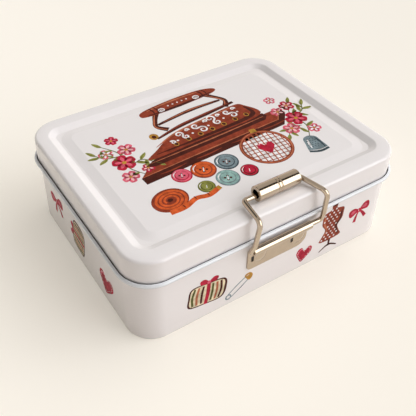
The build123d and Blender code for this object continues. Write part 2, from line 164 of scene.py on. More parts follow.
class TinInks(bpy.types.PropertyGroup):
    """Printing inks of the drawings."""
    rust: paint("Rust", "Main brown", "8c3c28")
    umber: paint("Umber", "Dark brown of outlines and shade", "4a2018")
    clay: paint("Clay", "Light brown of lit edges", "b4694a")
    milk: paint("Milk", "White of scrolls and dots", "f3ece6")
    cream: paint("Cream", "Unbleached cloth", "ddcfae")
    ochre: paint("Ochre", "Brass and yellow", "bb8a3c")
    orange: paint("Orange", "Warm orange", "cf5c2e")
    crimson: paint("Crimson", "Strong red", "b4243b")
    rose: paint("Rose", "Clear pink", "d75f72")
    blush: paint("Blush", "Pale pink", "eeb3b2")
    teal: paint("Teal", "Pale blue green", "8fb0a8")
    slate: paint("Slate", "Grey blue", "77868a")
    ink: paint("Ink", "Dark grey blue", "3f4c52")
    olive: paint("Olive", "Leaf green", "8b8b46")
    moss: paint("Moss", "Dark leaf green", "585a2c")


class TinColours(bpy.types.PropertyGroup):
    """Base colours of the finishes."""
    lacquer: paint("Lacquer", "Warm white enamel of lid and walls", "eae5e3")
    # painted shade: dark colour for the crevice at the rim curl, inside the curl and on the skirt just above it
    fold: paint("Fold", "Dull tinplate inside the rolled edge", "4c4f54")
    rim: paint("Rim", "Cooler white enamel of the lid's curl", "e4e6e9")
    tinplate: paint("Tinplate", "Bare tinplate of the inside", "dfe2e6")
    nickel: paint("Nickel", "Warm nickel plating of clasp and hinges", "c3b3a0")
    floor: paint("Floor", "Pale studio floor and backdrop", "fdf7ec")
    bounce: paint("Bounce", "Paper as the walls see it", "fdf6ee")


def sizes():
    """The tin's sizes, with lengths in millimetres."""
    group = bpy.context.scene.tin_sizes
    values = SimpleNamespace()
    for key in group.__annotations__:
        length = group.bl_rna.properties[key].unit == "LENGTH"
        setattr(values, key, getattr(group, key) / MM if length else getattr(group, key))
    return values


# ---- sheet metal shells


def arc_levels(start, corner, end, radius, steps=5):
    """Points of a rounded bend at corner between two straight runs, as (reach, z)."""
    start, corner, end = Vector(start), Vector(corner), Vector(end)
    inward, outward = (start - corner).normalized(), (end - corner).normalized()
    half = inward.angle(outward) / 2
    trim = radius / tan(half)
    middle = corner + (inward + outward).normalized() * (radius / sin(half))
    first, last = corner + inward * trim - middle, corner + outward * trim - middle
    arms = [first.normalized().slerp(last.normalized(), k / steps) for k in range(steps + 1)]
    return [tuple(middle + arm * radius) for arm in arms]


def loop_points(length, width, corner, z, steps):
    """One rounded rectangle as points in millimetres, anticlockwise from the right."""
    points = []
    for k, (sx, sy) in enumerate(((1, 1), (-1, 1), (-1, -1), (1, -1))):
        x, y = sx * (length / 2 - corner), sy * (width / 2 - corner)
        for i in range(steps + 1):
            turn = pi / 2 * (k + i / steps)
            points.append((x + corner * cos(turn), y + corner * sin(turn), z))
    return points


def sheet_object(name, loops, closed, *finishes):
    """Closed mesh through equal loops of points in millimetres; open stacks get flat end caps."""
    work = bmesh.new()
    rows = [[work.verts.new(Vector(p) * MM) for p in loop] for loop in loops]
    for low, high in zip(rows, rows[1:] + rows[:1] if closed else rows[1:]):
        for quad in zip(low, low[1:] + low[:1], high[1:] + high[:1], high):
            work.faces.new(quad)
    if not closed:
        work.faces.new(rows[0][::-1])
        work.faces.new(rows[-1])
    mesh = finished_mesh(work, name)
    shade(mesh, SMOOTH_ANGLE)
    return add_object(name, mesh, *finishes)


def finished_mesh(work, name):
    """Plain mesh with outward normals from a bmesh, which is freed."""
    bmesh.ops.recalc_face_normals(work, faces=work.faces)
    mesh = bpy.data.meshes.new(name)
    work.to_mesh(mesh)
    work.free()
    return mesh


def shade(mesh, angle):
    """Smooth shading, with sharp edges where faces turn more than an angle in degrees."""
    mesh.polygons.foreach_set("use_smooth", [True] * len(mesh.polygons))
    mesh.set_sharp_from_angle(angle=radians(angle))


def add_object(name, mesh, *finishes):
    """Object at the origin with the finishes of these names."""
    piece = bpy.data.objects.new(name, mesh)
    bpy.context.scene.collection.objects.link(piece)
    for finish in finishes:
        mesh.materials.append(finish_of(finish))
    return piece


def refinish(piece, finish, chosen):
    """Gives the chosen faces another finish."""
    piece.data.materials.append(finish_of(finish))
    for face in piece.data.polygons:
        if chosen(face):
            face.material_index = len(piece.data.materials) - 1


def faces_inside(face):
    """Whether a face looks inwards or down, where the sheet isn't printed; the folded foot is."""
    outward = Vector((face.center.x, face.center.y, 0)).normalized().dot(face.normal)
    upright = abs(face.normal.z) < LEAN_UPRIGHT
    return upright and outward < -LEAN_IN or face.normal.z < -LEAN_DOWN and face.center.z > FOOT_TOP


def settle(piece, body, slot, *nodes):
    """Finished piece: rides on its body and stands for CAD nodes, which it hides; the slot is not used."""
    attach(piece, body)
    if nodes:
        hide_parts(*nodes)


def lid_plan():
    """Length and width of the lid over its skirt, its top and the middle height of its rim curl."""
    s = sizes()
    low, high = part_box("lid")
    length, width = [(high[i] - low[i]) / MM - 2 * (s.rim_curl - s.sheet) for i in (0, 1)]
    return length, width, high[2] / MM, high[2] / MM - s.curl_drop


def lid_levels(inset):
    """Loops of one face of the lid's sheet from the skirt's lower edge up to the panel's edge."""
    s = sizes()
    length, width, top, edge = lid_plan()
    top -= inset
    floor, panel_top = top - s.recess_depth, top - s.recess_depth + s.panel_rise
    skirt = (length, width, s.lid_corner)
    recess = (length - 2 * s.border_side, width - 2 * s.border_front, s.recess_corner)
    panel = (recess[0] - 2 * s.panel_side, recess[1] - 2 * s.panel_front, s.panel_corner)
    crest, foot = s.crest - inset, s.foot + inset
    loops = []
    for plan, levels in (
        # the second level bounds the band of painted shade on the skirt
        (skirt, [(-inset, edge), (-inset, edge + s.rim_fold)]),
        (skirt, arc_levels((-inset, 0), (-inset, top), (-BEYOND, top), s.shoulder - inset, 6)),
        (recess, arc_levels((BEYOND, top), (0, top), (-s.recess_run, floor), crest)),
        (recess, arc_levels((0, top), (-s.recess_run, floor), (-BEYOND, floor), foot)),
        (panel, arc_levels((BEYOND, floor), (s.panel_run, floor), (0, panel_top), s.foot, 3)),
        (panel, arc_levels((s.panel_run, floor), (0, panel_top), (-BEYOND, panel_top), s.foot, 3)),
    ):
        loops += sweep_section(levels, *plan)
    return loops


def curl_outline(reach, z, outer, sheet, start, wrap, steps=22):
    """Closed section of a curled edge as (reach, z), its middle at (reach, z)."""
    points = []
    for radius, order in ((outer, range(steps + 1)), (outer - sheet, range(steps, -1, -1))):
        for k in order:
            turn = start + wrap * k / steps
            points.append((reach + radius * cos(turn), z + radius * sin(turn)))
    return points


def body_section():
    """Closed section of the body's sheet as (reach, z): foot flange, wall and neck curl."""
    s = sizes()
    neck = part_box("body_wall")[1][2] / MM
    curl = s.neck_curl / 2
    foot = curl_outline(-s.foot_radius, s.foot_radius, s.foot_radius, s.sheet, -pi / 2, pi / 2, 8)
    top = curl_outline(-curl, neck - curl, curl, s.sheet, 0, s.curl_wrap)
    half_foot, half_top = len(foot) // 2, len(top) // 2
    outside = [(-s.foot_flange, 0)] + foot[:half_foot] + top[:half_top]
    inside = top[half_top:] + foot[half_foot:] + [(-s.foot_flange, s.sheet)]
    return outside + inside


def sweep_section(section, length, width, corner):
    """Loops that carry a (reach, z) section round a rounded rectangle."""
    steps = sizes().corner_steps
    return [loop_points(length + 2 * r, width + 2 * r, corner + r, z, steps) for r, z in section]


# ---- finishes


def add_node(tree, kind, settings=None, **links):
    """Adds one node; settings are its properties, and each link is a value, socket or node for an input.

    A node stands for its first live output. A list fills the inputs that share one name, in order.
    """
    node = tree.nodes.new(kind)
    for key, value in (settings or {}).items():
        setattr(node, key, value)
    for key, given in links.items():
        values = given if isinstance(given, list) else [given]
        inputs = [i for i in node.inputs if i.name.lower() == key.replace("_", " ") and i.enabled]
        if len(inputs) < len(values):
            raise RuntimeError(f"{kind} has too few inputs called {key}")
        for entry, value in zip(inputs, values):
            if isinstance(value, bpy.types.Node):
                value = next(o for o in value.outputs if o.enabled)
            if isinstance(value, bpy.types.NodeSocket):
                tree.links.new(value, entry)
            else:
                entry.default_value = value
    return node


def new_finish(name):
    """Empty node material, its tree and a node with Object coordinates in millimetres."""
    finish = bpy.data.materials.new(name)
    finish.use_nodes = True
    tree = finish.node_tree
    tree.nodes.clear()
    place = add_node(tree, "ShaderNodeTexCoord").outputs["Object"]
    place = add_node(tree, "ShaderNodeVectorMath", {"operation": "SCALE"}, vector=place, scale=1 / MM)
    return finish, tree, place


def worked_sheet(name, tint, marks, detail, rough, clouds, shade, relief, **sockets):
    """Surface whose roughness and relief follow fine marks, and whose tone follows faint clouds.

    Marks is their number in a millimetre along x, y and z, clouds that of the clouds and their detail;
    rough and shade are the least and the most of each.
    """
    finish, tree, place = new_finish(name)
    along = add_node(tree, "ShaderNodeMapping", vector=place, scale=marks)
    grain = add_node(tree, "ShaderNodeTexNoise", vector=along, scale=1.0, detail=detail)
    haze = add_node(tree, "ShaderNodeTexNoise", vector=place, scale=clouds[0], detail=clouds[1])
    dull = add_node(tree, "ShaderNodeMapRange", value=grain, to_min=rough[0], to_max=rough[1])
    level = add_node(tree, "ShaderNodeMapRange", value=haze, to_min=shade[0], to_max=shade[1])
    tone = add_node(tree, "ShaderNodeVectorMath", {"operation": "SCALE"}, vector=tint[:3], scale=level)
    bump = add_node(tree, "ShaderNodeBump", strength=relief, distance=RELIEF_DEPTH, height=grain)
    surface = add_node(
        tree, "ShaderNodeBsdfPrincipled", base_color=tone, roughness=dull, normal=bump, **sockets,
    )
    add_node(tree, "ShaderNodeOutputMaterial", surface=surface)
    return finish


def lacquered_tinplate(tint):
    """Baked white enamel under a clear varnish, roller-coated on tinplate.

    It gives a warm white with a soft, slightly uneven sheen: waves of 50 mm in the sheet and an orange peel
    of 1 mm, drawn coarser than it is.
    """
    return worked_sheet(
        "lacquered_tinplate", tint, (0.9, 0.9, 0.9), 3.0, (0.15, 0.20), (0.02, 2.0), (0.97, 1.0), 0.04,
        ior=1.5, coat_weight=0.4, coat_roughness=0.08,
    )


def bare_tinplate(tint):
    """Electrolytic tinplate, bright but grained by the mill's rolls.

    It gives a blue-grey metal with soft streaks along the sheet, 20 mm long and just under 1 mm wide.
    """
    return worked_sheet(
        "bare_tinplate", tint, (0.05, 1.2, 1.2), 4.0, (0.26, 0.42), (0.08, 3.0), (0.88, 1.0), 0.0, metallic=1.0,
    )


def dulled_tinplate(tint):
    """Tinplate inside a rolled edge and on the skirt just above it, painted dark: a painted shade for the
    crevice that light hardly reaches.

    It gives the fine dark line above the bead.
    """
    return worked_sheet(
        "dulled_tinplate", tint, (0.5, 0.5, 0.5), 3.0, (0.55, 0.75), (0.1, 2.0), (1.0, 1.0), 0.0,
        specular_ior_level=0.2,
    )


def nickel_plate(tint):
    """Bright nickel plating on stamped steel and drawn wire.

    It gives a warm mirror softened by polishing marks, drawn 0.4 mm wide to show, and duller in clouds.
    """
    return worked_sheet(
        "nickel_plate", tint, (0.15, 2.5, 2.5), 5.0, (0.05, 0.13), (0.3, 2.0), (0.9, 1.0), 0.03, metallic=1.0,
    )


def printing_ink(tint, name):
    """Offset ink laid on the enamel in thin washes, under the same varnish.

    It gives a clear colour with watery clouds of 4 mm, darker where a wash has pooled.
    """
    finish, tree, place = new_finish(name + "_ink")
    wash = add_node(tree, "ShaderNodeTexNoise", vector=place, scale=0.28, detail=4.0, roughness=0.65)
    level = add_node(tree, "ShaderNodeMapRange", value=wash, from_min=0.3, from_max=0.7)
    deep, thin = [tuple(min(1.0, c * k) for c in tint[:3]) + (1.0,) for k in WASH_RANGE]
    tone = add_node(tree, "ShaderNodeMix", {"data_type": "RGBA"}, factor=level, a=deep, b=thin)
    surface = add_node(
        tree, "ShaderNodeBsdfPrincipled", base_color=tone, roughness=0.4, ior=1.5, specular_ior_level=0.06,
    )
    add_node(tree, "ShaderNodeOutputMaterial", surface=surface)
    return finish


def direct_view(tree):
    """Node that gives 1 for rays of the camera, of mirrors and through clear things."""
    path = add_node(tree, "ShaderNodeLightPath").outputs
    share = path["Is Camera Ray"]
    for kind in ("Is Glossy Ray", "Is Transmission Ray"):
        share = add_node(tree, "ShaderNodeMath", {"operation": "MAXIMUM"}, value=[share, path[kind]])
    return share


def matt_paper(tint):
    """Uncoated background paper of the studio, on the floor only.

    It gives an even pale ground with a soft shadow, in which a share of the plain colour stays.
    """
    finish, tree = new_finish("matt_paper")[:2]
    direct = direct_view(tree)
    bounce = bpy.context.scene.tin_colours.bounce
    tone = add_node(tree, "ShaderNodeMix", {"data_type": "RGBA"}, factor=direct, a=bounce, b=tint)
    paper = add_node(tree, "ShaderNodeBsdfDiffuse", color=tone, roughness=0.3)
    glow = add_node(tree, "ShaderNodeEmission", color=tint, strength=1.0)
    seen = add_node(tree, "ShaderNodeMath", {"operation": "MULTIPLY"}, value=[direct, FLOOR_GLOW])
    surface = add_node(tree, "ShaderNodeMixShader", fac=seen, shader=[paper, glow])
    add_node(tree, "ShaderNodeOutputMaterial", surface=surface)
    return finish


@cache
def finish_of(name):
    """The finish of that name, made once in its own colour."""
    makers = {
        "lacquer": lacquered_tinplate, "rim": lacquered_tinplate, "tinplate": bare_tinplate,
        "nickel": nickel_plate, "fold": dulled_tinplate, "floor": matt_paper,
    }
    scene = bpy.context.scene
    if name in makers:
        return makers[name](tuple(getattr(scene.tin_colours, name)))
    return printing_ink(tuple(getattr(scene.tin_inks, name)), name)


# ---- printed drawings


def curve(points, steps=5, closed=True):
    """Smooth curve through control points in millimetres, with some steps for each."""
    count = len(points)
    line = []
    for k in range(count if closed else count - 1):
        around = range(k - 1, k + 3)
        near = [points[i % count] if closed else points[max(0, min(count - 1, i))] for i in around]
        for j in range(steps):
            t = j / steps
            line.append(tuple(
                b + (c - a) * t / 2 + (2 * a - 5 * b + 4 * c - d) * t * t / 2
                + (3 * b - a - 3 * c + d) * t ** 3 / 2
                for a, b, c, d in zip(*near)
            ))
    return line if closed else line + [points[-1]]


def disc(x, y, wide, high=None, steps=24):
    """Outline of a disc or an upright ellipse."""
    turns = [2 * pi * k / steps for k in range(steps)]
    return [(x + wide * cos(turn), y + (high or wide) * sin(turn)) for turn in turns]


def stroke(points, widths, steps=5):
    """Outline of a pen stroke along a smooth curve; its width runs through the given values."""
    line = curve(points, steps, closed=False)
    left, right = [], []
    for k, (x, y) in enumerate(line):
        ahead, behind = line[min(k + 1, len(line) - 1)], line[max(k - 1, 0)]
        along = Vector((ahead[0] - behind[0], ahead[1] - behind[1])).normalized()
        share = k / (len(line) - 1) * (len(widths) - 1)
        i = min(int(share), len(widths) - 2)
        half = (widths[i] + (widths[i + 1] - widths[i]) * (share - i)) / 2
        left.append((x - along.y * half, y + along.x * half))
        right.append((x + along.y * half, y - along.x * half))
    return left + right[::-1]


def heading(start, end):
    """Degrees from the x axis to the way from start to end."""
    return degrees(atan2(end[1] - start[1], end[0] - start[0]))


def scroll(x, y, reach, angle, hand, turns=1.2, steps=12, draw_in=0.78):
    """Centre line of a scroll that leaves (x, y) at an angle in degrees and curls up to one hand."""
    side = radians(angle + 90 * hand)
    cx, cy = x + reach * cos(side), y + reach * sin(side)
    line = []
    for k in range(steps + 1):
        t = k / steps
        turn = side + pi + hand * 2 * pi * turns * t
        radius = reach * (1 - draw_in * t)
        line.append((cx + radius * cos(turn), cy + radius * sin(turn)))
    return line


class Drawing:
    """Printed shapes on a flat face in millimetres, each with its ink and its layer."""

    def __init__(self):
        self.shapes, self.repeats = [], []
        self.move(0, 0)

    def move(self, x, y, turn=0.0, size=1.0):
        """Draws what follows round (x, y), turned by degrees and scaled."""
        self.place = (x, y, radians(turn), size)

    def placed(self, point):
        x, y, turn, size = self.place
        u, v = point[0] * size, point[1] * size
        return (x + u * cos(turn) - v * sin(turn), y + u * sin(turn) + v * cos(turn))

    def add(self, ink, layer, *outlines):
        """One shape; the outlines after the first are holes in it."""
        self.shapes.append((ink, layer, [[self.placed(p) for p in outline] for outline in outlines]))

    def line(self, ink, layer, points, *widths):
        """One pen stroke."""
        self.add(ink, layer, stroke(points, widths))

    def repeat(self, ink, layer, outline, spots):
        """The same shape at many spots (x, y, degrees, size)."""
        turn, size = self.place[2:]
        placed = [(*self.placed((x, y)), radians(angle) + turn, grow * size) for x, y, angle, grow in spots]
        self.repeats.append((ink, layer, outline, placed))


def prism(work, outlines, layer, index):
    """Closed thin solid on flat outlines, from just under the face up to the top of its layer of ink."""
    levels = [
        [[work.verts.new((x, y, z)) for x, y in outline] for outline in outlines]
        for z in (-INK_ROOT, INK_STEP * (layer + 1))
    ]
    faces = []
    for triple in tessellate_polygon([[Vector((x, y, 0)) for x, y in outline] for outline in outlines]):
        faces += [work.faces.new([sum(level, [])[i] for i in triple]) for level in levels]
    for low, high in zip(*levels):
        faces += [work.faces.new(quad) for quad in zip(low, low[1:] + low[:1], high[1:] + high[:1], high)]
    for face in faces:
        face.material_index = index


def face_map(face):
    """Function from a flat point (x, y, rise) to the tin's point on that face."""
    low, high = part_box("body_wall")
    side, wall = high[0] / MM, -low[1] / MM
    s = sizes()
    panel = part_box("lid")[1][2] / MM - s.recess_depth + s.panel_rise
    return {
        "lid": lambda x, y, rise: (x, y, panel + rise),
        "front": lambda x, y, rise: (x, -wall - rise, y),
        "back": lambda x, y, rise: (-x, wall + rise, y),
        "left": lambda x, y, rise: (-side - rise, -x, y),
        "right": lambda x, y, rise: (side + rise, x, y),
    }[face]


@cache
def stamp_tree():
    """Node group that stamps a shape at each point, with the turn and the size stored there."""
    tree = bpy.data.node_groups.new("stamp_repeat", "GeometryNodeTree")
    for name, way, kind in (
        ("Geometry", "INPUT", "Geometry"), ("Stamp", "INPUT", "Object"), ("Ink", "INPUT", "Material"),
        ("Geometry", "OUTPUT", "Geometry"),
    ):
        tree.interface.new_socket(name, in_out=way, socket_type="NodeSocket" + kind)
    given = add_node(tree, "NodeGroupInput").outputs
    turn = add_node(tree, "GeometryNodeInputNamedAttribute", {"data_type": "FLOAT"}, name="turn")
    grow = add_node(tree, "GeometryNodeInputNamedAttribute", {"data_type": "FLOAT"}, name="grow")
    spin = add_node(tree, "ShaderNodeCombineXYZ", z=turn)
    shape = add_node(tree, "GeometryNodeObjectInfo", object=given["Stamp"]).outputs["Geometry"]
    stamped = add_node(
        tree, "GeometryNodeInstanceOnPoints", points=given["Geometry"], instance=shape,
        rotation=spin, scale=grow,
    )
    real = add_node(tree, "GeometryNodeRealizeInstances", geometry=stamped)
    inked = add_node(tree, "GeometryNodeSetMaterial", geometry=real, material=given["Ink"])
    add_node(tree, "NodeGroupOutput", geometry=inked)
    return tree


def stamped_mesh(outline, layer, spots, ink):
    """Plain mesh of one shape stamped at the spots."""
    work = bmesh.new()
    prism(work, [outline], layer, 0)
    stamp = add_object("stamp", finished_mesh(work, "stamp"))
    points = bpy.data.meshes.new("stamp_spots")
    points.from_pydata([(*spot[:2], 0) for spot in spots], [], [])
    for name, k in (("turn", 2), ("grow", 3)):
        points.attributes.new(name, "FLOAT", "POINT").data.foreach_set("value", [spot[k] for spot in spots])
    base = add_object("stamp_spots", points)
    tree = stamp_tree()
    modifier = base.modifiers.new("stamps", "NODES")
    modifier.node_group = tree
    for name, value in (("Stamp", stamp), ("Ink", finish_of(ink))):
        modifier[tree.interface.items_tree[name].identifier] = value
    graph = bpy.context.evaluated_depsgraph_get()
    result = bpy.data.meshes.new_from_object(base.evaluated_get(graph))
    base.modifiers.remove(modifier)
    for done in (base, stamp):
        bpy.data.objects.remove(done)
    return result


def print_face(drawing, face, body):
    """Two pieces of thin closed ink solids on one face: the drawn shapes and the stamped repeats."""
    plain, stamped = bmesh.new(), bmesh.new()
    inks = sorted({row[0] for row in drawing.shapes + drawing.repeats})
    for ink, layer, outlines in drawing.shapes:
        prism(plain, outlines, layer, inks.index(ink))
    for ink, layer, outline, spots in drawing.repeats:
        before = len(stamped.faces)
        stamped.from_mesh(stamped_mesh(outline, layer, spots, ink))
        stamped.faces.ensure_lookup_table()
        for shape in stamped.faces[before:]:
            shape.material_index = inks.index(ink)
    onto = face_map(face)
    for work, name in ((plain, f"{face}_print"), (stamped, f"{face}_print_repeats")):
        for vertex in work.verts:
            vertex.co = Vector(onto(*vertex.co)) * MM
        settle(add_object(name, finished_mesh(work, name), *inks), body, "lacquer")


# ---- motifs


def draw_flat_iron(art):
    """Box iron for hot coals, seen from the side, about 100 wide and 58 high."""
    hull = curve([(-47, 7), (-38, 14), (-24, 21), (0, 25), (34, 27.5), (42, 23), (44, 7), (0, 6.5)])
    art.add("rust", 0, [(-62, -5.5), (50, -5.5), (60, 6), (-47, 6)])
    art.add("umber", 1, [(-62, -12), (50, -12), (60, -1.5), (60, 6), (50, -5.2), (-62, -5.2)])
    art.line("clay", 2, [(-61, -5.0), (0, -4.8), (50, -5.0)], 0.5, 1.0, 0.5)
    art.line("clay", 2, [(50, -5.2), (55, 0.3), (59.6, 5.4)], 0.8, 0.6, 0.3)
    for x in (-50, -22, 6, 34):
        art.line("rust", 2, [(x, -8.2), (x + 9, -8.9), (x + 20, -8.2)], 0.3, 1.4, 0.3)
    art.add("umber", 1, [(-54, 3), (-48, 0), (43, 0), (47, 3.5), (46, 7.5), (-42, 7.5)])
    art.add("rust", 2, hull)
    art.line("clay", 3, [(-37, 16.5), (-20, 22.3), (0, 24.5), (32, 26)], 0.4, 1.5, 1.8, 0.5)
    art.line("umber", 3, [(-41, 10), (-10, 8.8), (30, 8.8), (41.5, 12), (40.5, 22)], 0.6, 2.2, 3.4, 3.6, 0.8)
    art.line("clay", 2, [(-50, 4.2), (0, 3.6), (44, 4)], 0.3, 1.2, 0.4)
    art.line("umber", 2, [(-31, 24), (-10, 28), (14, 29.5), (38, 31)], 1.6, 3.4, 3.6, 2.4)
    art.line("rust", 3, [(-28, 25), (-8, 29), (14, 30.4), (34, 31.6)], 0.4, 1.1, 1.2, 0.4)
    for foot, bow in ((-19, -5), (30, 5)):
        post = [(foot, 29), (foot + bow, 36), (foot + bow * 0.4, 43), (foot - bow * 0.6, 50)]
        art.line("umber", 1, post, 4.6, 3.4, 3.4, 4.6)
        art.line("clay", 2, [(x - 0.8, y) for x, y in post], 0.4, 1.1, 1.1, 0.4)
    art.line("umber", 0, [(-22, 37.5), (6, 40), (32, 38.5)], 2.2, 3.6, 2.2)
    art.line("clay", 1, [(-17, 38.4), (6, 40.6), (27, 39.4)], 0.3, 1.2, 0.3)
    grip = curve([(-27, 53), (-22, 57.5), (2, 59.5), (26, 58.5), (38, 54), (33, 49.5), (4, 48), (-22, 49.5)])
    art.add("rust", 2, grip)
    art.line("umber", 3, [(-22, 50.6), (4, 49.2), (33, 50.8)], 0.6, 2.6, 0.8)
    art.line("clay", 3, [(-20, 56), (2, 57.8), (26, 56.6)], 0.5, 1.7, 0.5)
    for x in (-17, -13.5, 25, 28.5):
        art.line("umber", 4, [(x, 49), (x + 1.2, 53.5), (x, 58)], 0.9, 1.2, 0.9)
    art.add("ochre", 2, disc(-32, 27.5, 3.2, 3.6))
    art.add("umber", 3, disc(-32, 27.2, 1.5, 1.8))
    vents = [(x, 12.4 + x * 0.01, 0, 1) for x in range(-24, 38, 10)]
    art.repeat("ochre", 4, disc(0, 0, 1.9, 2.2, 14), vents)
    art.repeat("umber", 5, disc(0, 0, 1.3, 1.6, 14), vents)
    for x, y, angle, hand, *reaches in (
        (-15, 17.6, 35, 1, 3.0, 2.4), (-1, 19, 25, -1, 3.6, 2.9), (13, 20, 20, 1, 3.6, 2.9),
        (27, 20.6, 25, -1, 3.2, 2.6), (-26, 16.4, 40, -1, 2.0), (-8, 20.6, 60, 1, 1.6),
        (6, 22, 120, -1, 1.7), (20, 22.6, 60, 1, 1.7), (34, 23.4, 60, 1, 1.6),
    ):
        for k, reach in enumerate(reaches):
            art.line("milk", 4, scroll(x, y, reach, angle + 180 * k, hand), 1.5, 1.1, 0.5)
    dots = [(x, 16.6 + 0.08 * x, 0, 1) for x in (-21, -8, 6, 20, 33)]
    art.repeat("milk", 4, disc(0, 0, 0.85, steps=10), dots)
    for x, angle, hand in ((-10, 10, -1), (-10, 170, 1), (20, 10, -1), (20, 170, 1)):
        art.line("milk", 4, scroll(x, 53.6, 2.2, angle, hand), 1.1, 0.5)
    art.repeat("milk", 4, disc(0, 0, 0.7, steps=10), [(x, 53.8, 0, 1) for x in (-3, 1, 5, 9, 13)])


def draw_button(art, ink, shade, holes):
    """Sewing button of 8 mm radius with a raised rim and its thread."""
    art.add(shade, 1, disc(0, 0, 8, 8, 32))
    art.add(ink, 2, disc(0.2, 0.3, 7.2, 7.2, 32))
    art.add(shade, 3, disc(0, 0, 5.4, 5.4, 32), disc(0.3, 0.3, 4.8, 4.8, 32)[::-1])
    art.line("milk", 3, [(-5.6, 2.6), (-3.2, 5.4), (0.5, 6.3)], 0.2, 0.9, 0.2)
    turns = [radians(45 + 360 / holes * k) for k in range(holes)]
    spots = [(1.9 * cos(turn), 1.9 * sin(turn), 0, 1) for turn in turns]
    art.repeat("umber", 3, disc(0, 0, 0.85, steps=12), spots)
    art.line("milk", 4, [spots[0][:2], spots[holes // 2][:2]], 0.6, 0.6)


def draw_tape_measure(art):
    """Coiled tape with its free end drawn out and marked off."""
    coil = []
    for k in range(27):
        turn = radians(200 - 40 * k)
        radius = 4.0 + 0.36 * k
        coil.append((radius * cos(turn), radius * 0.82 * sin(turn)))
    art.add("rust", 1, disc(0, 0, 14.6, 12.2, 32))
    art.line("orange", 2, coil, 1.6, 2.0, 2.1)
    art.add("umber", 2, disc(0, 0, 2.2, 1.8))
    tail = [(-8, -11.2), (4, -12.6), (16, -10), (26, -13), (37, -11)]
    art.line("orange", 3, tail, 4.4, 4.4, 4.4, 4.4, 4.2)
    line = curve(tail, 4, closed=False)
    spots = []
    for k in range(1, len(line) - 1):
        (x, y), turn = line[k], heading(line[k - 1], line[k + 1])
        spots.append((x, y + 1.0, turn, 1.25 if k % 4 == 0 else 0.85))
    art.repeat("umber", 4, [(-0.3, -1.2), (0.3, -1.2), (0.3, 1.2), (-0.3, 1.2)], spots)
    art.add("ochre", 4, [(35.6, -13.2), (38.6, -12.8), (38.2, -8.6), (35.4, -8.9)])


def draw_thimble(art):
    """Dimpled thimble, 15 high."""
    cap = [(-6.4, 0), (-5.6, 8), (-4.4, 13.5), (0, 15.6), (4.4, 13.5), (5.6, 8), (6.4, 0), (0, -1.4)]
    art.add("slate", 1, curve(cap))
    art.line("milk", 2, [(-3.6, 3), (-3.2, 8), (-2.2, 12.6)], 0.5, 1.6, 0.4)
    art.line("ink", 2, [(5.0, 1.5), (4.5, 8), (3.2, 13)], 0.6, 1.8, 0.4)
    art.line("ink", 2, [(-6.8, 0.6), (0, -1.0), (6.8, 0.6)], 2.0, 2.4, 2.0)
    art.line("milk", 3, [(-6.4, 1.4), (0, 0.0), (6.4, 1.4)], 0.3, 0.7, 0.3)
    spots = [
        (x * 1.9 + row % 2 * 0.9 - 0.4, 4.2 + row * 2.0, 0, 1) for row in range(5) for x in (-2, -1, 0, 1)
    ]
    art.repeat("ink", 3, disc(0, 0, 0.42, steps=8), spots)


def draw_hoop(art):
    """Embroidery hoop of 19 mm radius with checked cloth and a stitched heart."""
    art.add("milk", 1, disc(0, 0, 17.4, steps=40))
    for k in range(-4, 5):
        at = 3.7 * k
        half = sqrt(17.0 ** 2 - at ** 2)
        art.line("clay", 2, [(at, -half), (at + 0.4, half)], 0.95, 0.95)
        art.line("rust", 3, [(-half, at), (half, at + 0.4)], 0.7, 0.7)
    art.add("rust", 4, disc(0, 0, 19.2, 19.2, 40), disc(0, 0, 16.6, 16.6, 40)[::-1])
    art.add("clay", 5, disc(0, 0, 18.5, 18.5, 40), disc(0, 0, 17.6, 17.6, 40)[::-1])
    art.add("ochre", 5, [(-2.6, 18), (2.6, 18), (2.2, 22.6), (-2.2, 22.6)])
    art.add("umber", 5, disc(4.4, 20.6, 1.9, 1.3))
    heart = curve(HEART, 4)
    art.add("crimson", 4, [(x * 0.62, y * 0.62 - 0.5) for x, y in heart])
    art.line("blush", 5, [(-4.4, 3.2), (-2.8, 4.9), (-1.0, 3.6)], 0.3, 0.9, 0.3)


HEART = [
    (0, -11), (5.5, -5.5), (10, 1), (9, 7), (4.6, 8.4), (0, 4), (-4.6, 8.4), (-9, 7), (-10, 1), (-5.5, -5.5),
]


def draw_heart_patch(art):
    """Felt heart with a running stitch inside its edge."""
    heart = curve(HEART, 4)
    art.add("crimson", 1, heart)
    art.line("rose", 2, [(-7.6, 0.5), (-6.6, 5.6), (-3.4, 6.2)], 0.4, 1.8, 0.4)
    edges = list(zip(heart, heart[1:]))[::2]
    spots = [(x * 0.8, y * 0.8, heading((x, y), ahead), 1) for (x, y), ahead in edges]
    art.repeat("milk", 3, [(-0.75, -0.22), (0.75, -0.22), (0.75, 0.22), (-0.75, 0.22)], spots)


def draw_blossom(art, ink, glow, petals=5):
    """Simple open flower of about 7 mm radius."""
    petal = curve([(0.4, 0), (2.6, -2.6), (6.2, -2.4), (6.9, 0), (6.2, 2.4), (2.6, 2.6)], 3)
    wash = curve([(1.2, 0), (3.2, -1.1), (5.4, 0), (3.2, 1.1)], 3)
    turns = [360 / petals * k + 12 for k in range(petals)]
    art.repeat(ink, 1, petal, [(0, 0, turn, 1) for turn in turns])
    art.repeat(glow, 2, wash, [(0, 0, turn, 1) for turn in turns])
    art.repeat(ink, 3, wash, [(0, 0, turn + 36, 0.62) for turn in turns])
    art.add("ochre", 4, disc(0, 0, 1.3, steps=14))
    rays = [radians(turn + 36) for turn in turns]
    art.repeat("umber", 4, disc(0, 0, 0.4, steps=8), [(2.6 * cos(r), 2.6 * sin(r), 0, 1) for r in rays])


